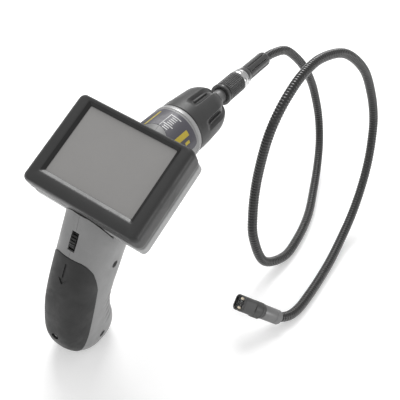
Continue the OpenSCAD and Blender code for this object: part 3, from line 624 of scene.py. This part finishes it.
for name, x, replaced in (("left_shell_moulding", (-40, -half_gap), "left_shell"),
                          ("right_shell_moulding", (half_gap, 40), "right_shell")):
    half = shells.copy()
    half.data = shells.data.copy()
    half.name = name
    bpy.context.scene.collection.objects.link(half)
    shape_with(half, box_piece("side", x, (-60, 160), (-5, 170)), "INTERSECT")
    dress(crisp(half), satin_grey, "handset", [replaced])
bpy.data.objects.remove(shells)
# Painted shade: near-black cups line the three side screw wells so that the holes read dark, as shade falls
# down inside them
painted_shade_pit = finish("painted_shade_pit", grey(4), 0.8, wear=0.0)
for y, z in screw_places:
    shade_cup = turned(f"shade_in_screw_well_{int(z)}", [(2.85, 9.05), (2.85, 15), (3.6, 15), (3.6, 8.6), (0.3, 8.6),
                                          (0.3, 9.05)], sides=40, place=well_place(y, z))
    dress(shade_cup, painted_shade_pit, "handset")

# ---- Screws, springs and inner parts ----
# What the shells and the monitor enclose: plated screws, springs and shaft, black mouldings,
# lacquered circuit boards and wrapped cells, each with the finish it comes with. The door
# screw is the exception: its near-white head is a painted glint.
zinc = finish("zinc_plate", grey(170), 0.3, metal=1.0, wear=0.4, depth=0.004 * MM)
dark_zinc = finish("dark_zinc", grey(70), 0.4, metal=0.8, wear=0.4)
dress(cad["shell_screws"], dark_zinc)
# Painted glint: the door screw's head is near white and barely metallic, standing in for the light that a
# plated head reflects from down in its hole
screw_painted_glint = finish("screw_painted_glint", grey(215), 0.3, metal=0.2, wear=0.2, depth=0.003 * MM)
dress(cad["door_screw"], screw_painted_glint)
dress(cad["dimmer_shaft"], zinc)
dress(cad["battery_contacts"], zinc)
black_moulding = finish("black_moulding", grey(34), 0.5, wear=0.4)
for name in ("dock_rail", "battery_tray", "video_jack"):
    dress(cad[name], black_moulding)
circuit_green = finish("circuit_green", (0.02, 0.16, 0.06, 1), 0.35, wear=0.1, coat=0.4, depth=0.004 * MM)
for name in ("main_board", "monitor_board"):
    dress(cad[name], circuit_green)
cell_jacket = finish("cell_jacket", (0.05, 0.09, 0.2, 1), 0.3, wear=0.2, metal=0.3, depth=0.003 * MM)
for name in ("battery_cells", "monitor_battery"):
    dress(cad[name], cell_jacket)
dress(cad["dimmer_potentiometer"], finish("pot_case", (0.05, 0.11, 0.3, 1), 0.4, wear=0.2))

# ---- Printed label ----
# A dark film wrapped over the top of the barrel, printed with plain bars and a row of fine
# marks like a rule's, with a light border where the film stops short of the ring.
film_radius = barrel_radius + 0.22


def wrap(name, y, a, radius, thick=0.12, corner=0.0):
    """A patch of film on the barrel from length y to y and angle a to a, in degrees above +X."""
    rings = []
    count = max(3, int(abs(a[1] - a[0]) / 2) + 2)
    for k in range(count):
        share = k / (count - 1)
        turn = math.radians(a[0] + (a[1] - a[0]) * share)
        near = min(share, 1 - share) * abs(math.radians(a[1] - a[0])) * radius
        cut = corner - math.sqrt(max(0.0, corner ** 2 - max(0.0, corner - near) ** 2))
        ring = []
        under = radius - thick
        for r, length in ((radius, y[0]), (radius, y[1] - cut), (under, y[1] - cut), (under, y[0])):
            ring.append((r * math.cos(turn) * MM, length * MM, (barrel_z + r * math.sin(turn)) * MM))
        rings.append(ring)
    return loft(name, rings, angle=60)


film = wrap("label_film", (62, barrel_front - 2.2), (8, 172), film_radius, thick=0.2, corner=4)


def under_dock(piece):
    """Cuts a wrapped piece back clear of the monitor's path."""
    return shape_with(piece, monitor_space(0))


film_ink = finish("film_ink", (0.052, 0.05, 0.062, 1), 0.45, wear=0.1, depth=0.002 * MM, coat=0.08)
dress(under_dock(film), film_ink, "handset", ["barrel_label"])
yellow_ink = finish("yellow_ink", (0.4, 0.31, 0.03, 1), 0.35, wear=0.0, depth=0.002 * MM)
white_ink = finish("white_ink", grey(190), 0.35, wear=0.0, depth=0.002 * MM)
prints = [("wide_bar", (80, 100), (38, 49), yellow_ink), ("short_bar", (93, 98), (25, 31), yellow_ink),
          ("far_bar", (78, 102), (114, 118), yellow_ink)]
marks_from, mark_pitch, mark_width = 80, 2.1, 0.8
for k in range(2, 11):
    longer = 5 if k % 5 == 0 else 0
    start = marks_from + mark_pitch * k
    prints.append((f"mark_{k}", (start, start + mark_width), (72 - longer, 84 + longer), white_ink))
prints.append(("rule_line", (79.5, 102.5), (89.5, 91), white_ink))
for name, y, a, ink in prints:
    mark = wrap("print_" + name, y, a, film_radius + 0.04, thick=0.1)
    dress(under_dock(mark), ink, "handset")

# ---- Battery door ----
# A soft-touch black cover that wraps round the back of the grip over the cells. It slides
# down off its catches once the sunk screw near its foot is out; an arrow shows the way.
door_lip, door_wall, door_foot = 0.38, 1.6, 7
door = grip_loft("battery_cover", -door_lip, sides=120)
shape_with(door, grip_loft("door_hollow", door_wall, sides=96))
shape_with(door, prism("door_shape", door_outline(-0.3), -40, 40, side_on), "INTERSECT")
shape_with(door, box_piece("foot_cut", (-60, 60), (-60, 60), (-20, door_foot)))
arrow = [(-0.8, 97.6), (0.8, 97.6), (0.8, 86.5), (3.6, 86.5), (0, 82.2), (-3.6, 86.5), (-0.8, 86.5)]
from_behind = Matrix(((MM, 0, 0, 0), (0, 0, MM, 0), (0, MM, 0, 0), (0, 0, 0, 1)))
cutter = prism("arrow", arrow, -60, 0, from_behind)
shape_with(cutter, grip_loft("arrow_floor", 0.5, sides=96))
shape_with(door, cutter)
screw_height = 0.235 * grip_height
at_screw = (Matrix.Translation((0, -26 * MM, screw_height * MM))
            @ Matrix.Rotation(-math.pi / 2, 4, "X") @ in_mm)
boss = turned("boss", [(4.8, -3), (4.8, 7)], sides=48, place=at_screw)
shape_with(boss, grip_loft("boss_skin", 0.3, sides=96), "INTERSECT")
shape_with(door, boss, "UNION")
shape_with(door, turned("screw_bore", [(3, -6), (3, 4)], sides=48, place=at_screw))
shape_with(door, turned("screw_way", [(1.5, -6), (1.5, 20)], sides=32, place=at_screw))
soft_touch = finish("soft_touch", grey(26), 0.52, wear=0.3, grain=0.35 * MM, depth=0.015 * MM, patchy=0.1)
dress(crisp(door), soft_touch, "battery_door", ["battery_door"])

# ---- Dimmer wheel ----
# A black moulded thumb wheel, ribbed round its rim, that shows through the slot in the back.
wheel_radius, wheel_proud, wheel_ribs = 8.5, 1.4, 24
wheel_centre = slot_centre + Matrix.Rotation(wheel_lean, 3, "X") @ Vector((0, wheel_radius - wheel_proud, 0))
at_wheel = Matrix.Translation(wheel_centre * MM) @ Matrix.Rotation(math.pi / 2, 4, "Y") @ in_mm


def ribbed(radius, a, x):
    """The wheel's rim, ribbed across."""
    return radius - (0.75 * max(0.0, math.cos(wheel_ribs * a)) ** 2 if radius > 7 else 0)


wheel_profile = [(1.5, -2.4), (7.0, -2.4), (7.9, -2.3), (8.4, -2.0), (wheel_radius, -1.6), (wheel_radius, 0),
                 (wheel_radius, 1.6), (8.4, 2.0), (7.9, 2.3), (7.0, 2.4), (1.5, 2.4)]
wheel = turned("ribbed_wheel", wheel_profile, sides=240, place=at_wheel, shape=ribbed)
wheel_black = finish("wheel_black", grey(14), 0.4, wear=0.6)
dress(wheel, wheel_black, "dimmer", ["dimmer_wheel"])

# ---- Monitor ----
# A stack of three mouldings screwed together from behind: a charcoal bezel with rounded sides
# round the recessed screen, a mid grey band, and a light grey back with the dock's channel.
half_width, low, high = 47, monitor_low, 31.9
screen_half_w, screen_half_h = 35.05, 26.3
button_level = -8.3
button_places = (-28, -14, 0)


def frame_ring(x, v_low, v_high, corner, n, sides=64):
    """A level outline of the monitor with round corners at height n above the screen."""
    points = []
    for i in range(sides):
        a = (i + 0.5) * math.tau / sides
        quarter = int(a // (math.pi / 2))
        cx = (x - corner) * (1 if quarter in (0, 3) else -1)
        cy = v_high - corner if quarter in (0, 1) else v_low + corner
        points.append(on_screen @ Vector((cx + corner * math.cos(a), cy + corner * math.sin(a), n)))
    return points


def body_ring(g, n, corner=4.6, gx=None):
    """The monitor's outline drawn in by g, and by gx at its sides."""
    gx = g if gx is None else gx
    return frame_ring(half_width - gx, low + g, high - g, max(0.6, corner - g), n)


def screen_ring(g, n, corner=1.0):
    """The screen's outline let out by g."""
    return frame_ring(screen_half_w + g, -screen_half_h - g, screen_half_h + g, corner, n)


bezel_face, bezel_back, face_round = 2.5, -12, 5
bezel_rings = [body_ring(2.2, -0.4), body_ring(2.2, bezel_back), body_ring(0.35, bezel_back),
               body_ring(0, bezel_back + 0.35), body_ring(0, bezel_face - face_round)]
for k in range(1, 10):
    a = k / 9 * math.pi / 2
    bezel_rings.append(body_ring(1.3 * (1 - math.cos(a)), bezel_face - face_round + face_round * math.sin(a),
                                 gx=face_round * (1 - math.cos(a))))
bezel_rings += [screen_ring(3.1, bezel_face, 2.2), screen_ring(2.75, bezel_face - 0.12, 2.0),
                screen_ring(2.45, bezel_face - 0.5, 1.8), screen_ring(0.35, 0.5, 1.0),
                screen_ring(0, 0.25, 0.8), screen_ring(0, -0.4, 0.8)]
bezel = loft("bezel_moulding", bezel_rings, loop=True)
# Painted shade: a near-black frame laid on the screen recess's sloping walls stands in for the shade on the
# walls that turn away from the light
shade_frame_rings = [screen_ring(2.35, 2.0, 1.8), screen_ring(0.3, 0.62, 1.0), screen_ring(0.1, 0.45, 0.9),
                screen_ring(0.3, 0.3, 1.0), screen_ring(2.4, 1.8, 1.8)]
shade_frame = loft("recess_shade_frame", shade_frame_rings, loop=True)
dress(shade_frame, finish("painted_shade_black", grey(10), 0.4, wear=0.1), "monitor")
# Painted light: a lighter grey strip over the recess's lower wall stands in for the light that this wall
# catches as it faces up toward the lamps
along_lip = on_screen @ Matrix(((0, 0, 1, 0), (1, 0, 0, 0), (0, 1, 0, 0), (0, 0, 0, 1)))
lip_edge = -screen_half_h
lip_outline = [(lip_edge - 0.25, 0.66), (lip_edge - 2.45, 2.2), (lip_edge - 2.5, 1.9), (lip_edge - 0.25, 0.4)]
lit_lip = prism("painted_light_lip", lip_outline, -screen_half_w - 0.6, screen_half_w + 0.6, along_lip)
dress(lit_lip, finish("painted_light_grey", grey(92), 0.4, wear=0.3), "monitor")
for x in button_places:
    hole = on_screen @ Matrix.Translation((x, high - 4, button_level)) @ Matrix.Rotation(-math.pi / 2, 4, "X")
    shape_with(bezel, turned("button_hole", [(2.66, 0), (2.66, 8)], sides=40, place=hole))
jack = on_screen @ Matrix.Translation((-half_width, -10, -6)) @ Matrix.Rotation(math.pi / 2, 4, "Y")
shape_with(bezel, turned("jack_hole", [(3.1, -3), (3.1, 4)], sides=40, place=jack))
charcoal = finish("charcoal_moulding", grey(44), 0.42, worn=grey(84), wear=0.35, grain=0.4 * MM,
                  depth=0.014 * MM)
dress(crisp(bezel), charcoal, "monitor", ["monitor_bezel"])

band_rings = [body_ring(2.8, -16.9), body_ring(1.0, -16.9), body_ring(0.6, -16.5), body_ring(0.6, -12.6),
              body_ring(1.0, -12.2), body_ring(2.8, -12.2)]
mid_band = loft("band_moulding", band_rings, loop=True)
mid_grey = finish("mid_grey_moulding", grey(84), 0.42, wear=0.35, depth=0.012 * MM)
dress(mid_band, mid_grey, "monitor", ["monitor_band"])

back_level, back_face = -28, -17.1
back_rings = [body_ring(0.7, back_face), body_ring(0.3, back_face - 0.4), body_ring(0.3, back_level + 4, 3.6)]
for k in range(1, 8):
    a = k / 7 * math.pi / 2
    back_rings.append(body_ring(0.3 + 4 * (1 - math.cos(a)), back_level + 4 - 4 * math.sin(a), 5.0))
back = loft("back_moulding", back_rings)
shape_with(back, box_piece("channel", (-6.4, 6.4), (low - 1, 14.4), (back_level - 1, -24.8), on_screen))
shape_with(back, box_piece("channel_head", (-9.4, 9.4), (low - 1, 14.4), (-26.2, -22.6), on_screen))
screw_inset = 4.9
for x in (-half_width + screw_inset, half_width - screw_inset):
    for v in (low + screw_inset, high - screw_inset):
        place = on_screen @ Matrix.Translation((x, v, back_level))
        shape_with(back, turned("screw_seat", [(2.5, -1), (2.5, 2)], sides=40, place=place))
        shape_with(back, turned("screw_hole", [(1.3, -1), (1.3, 9)], sides=24, place=place))
for k in range(7):
    for x in (-32, 20):
        shape_with(back, box_piece("vent", (x, x + 12), (6 + 2.6 * k, 7.2 + 2.6 * k),
                                   (back_level - 1, back_level + 0.9), on_screen))
light_grey = finish("light_grey_moulding", grey(146), 0.4, wear=0.2, depth=0.012 * MM, patchy=0.05)
dress(crisp(back), light_grey, "monitor", ["monitor_back"])
dress(cad["monitor_screws"], dark_zinc)

# ---- Screen ----
# An anti-glare plastic window bonded into the bezel over an unlit panel. The two together
# read as an even warm grey.
screen_grey = finish("screen_grey", grey(134, 0.02), 0.3, wear=0.0, grain=0.15 * MM, depth=0.002 * MM,
                     patchy=0.02, coat=0.25)
for name in ("screen_window", "lcd_panel"):
    dress(cad[name], screen_grey)

# ---- Buttons ----
# Three sprung push buttons in the monitor's top edge: power in red, and two grey ones. Each
# has a flange inside that holds it in its hole.
button_red = finish("button_red", (0.32, 0.03, 0.02, 1), 0.45)
button_grey = finish("button_grey", grey(92), 0.55)
button_profile = [(1.2, 5.3), (1.2, 3.1), (3.2, 3.1), (3.2, 2.3), (2.6, 2.3), (2.6, -0.4), (2.35, -0.85),
                  (1.9, -1.0), (1.2, -0.85), (0.4, -0.75)]
for x, (name, paint, slot) in zip(button_places, (("power_button", button_red, "button_red"),
                                                  ("up_button", button_grey, "button_grey"),
                                                  ("down_button", button_grey, "button_grey"))):
    place = on_screen @ Matrix.Translation((x, high, button_level)) @ Matrix.Rotation(math.pi / 2, 4, "X")
    cap = turned(name + "_cap", button_profile, sides=48, place=place)
    dress(cap, paint, name, [name])

# ---- Floor and light ----
# A plain pale table top under a wide soft light, with a gentle fill from behind the tool. The
# top glows faintly, as a lit photographic table does.
table_mesh = bpy.data.meshes.new("table_top")
reach = 3.0
table_mesh.from_pydata([(-reach, -reach, 0), (reach, -reach, 0), (reach, reach, 0), (-reach, reach, 0)], [],
                       [(0, 1, 2, 3)])
table_top = bpy.data.objects.new("table_top", table_mesh)
bpy.context.scene.collection.objects.link(table_top)
table_paint = bpy.data.materials.new("table_paint")
table_paint.use_nodes = True
table_shader = table_paint.node_tree.nodes["Principled BSDF"]
table_shader.inputs["Base Color"].default_value = (0.93, 0.93, 0.93, 1)
table_shader.inputs["Roughness"].default_value = 0.85
table_shader.inputs["Emission Color"].default_value = (1, 1, 1, 1)
table_shader.inputs["Emission Strength"].default_value = 0.22
table_mesh.materials.append(table_paint)

world = bpy.data.worlds.new("soft_room")
world.use_nodes = True
sky = world.node_tree.nodes["Background"]
sky.inputs["Color"].default_value = (1, 1, 1, 1)
sky.inputs["Strength"].default_value = 0.62
bpy.context.scene.world = world
aim = Vector((0.03, 0.13, 0.08))
for name, position, size, power in (("soft_box", (-0.55, 0.75, 1.2), 0.8, 16),
                                    ("side_box", (1.2, 0.1, 0.5), 0.5, 3),
                                    ("front_fill", (-0.5, -1.3, 0.7), 0.8, 1.5)):
    lamp = bpy.data.lights.new(name, "AREA")
    lamp.size = size
    lamp.energy = power
    light = bpy.data.objects.new(name, lamp)
    light.location = position
    light.rotation_euler = (aim - Vector(position)).to_track_quat("-Z", "Y").to_euler()
    bpy.context.scene.collection.objects.link(light)
bpy.context.scene.view_settings.view_transform = "Standard"
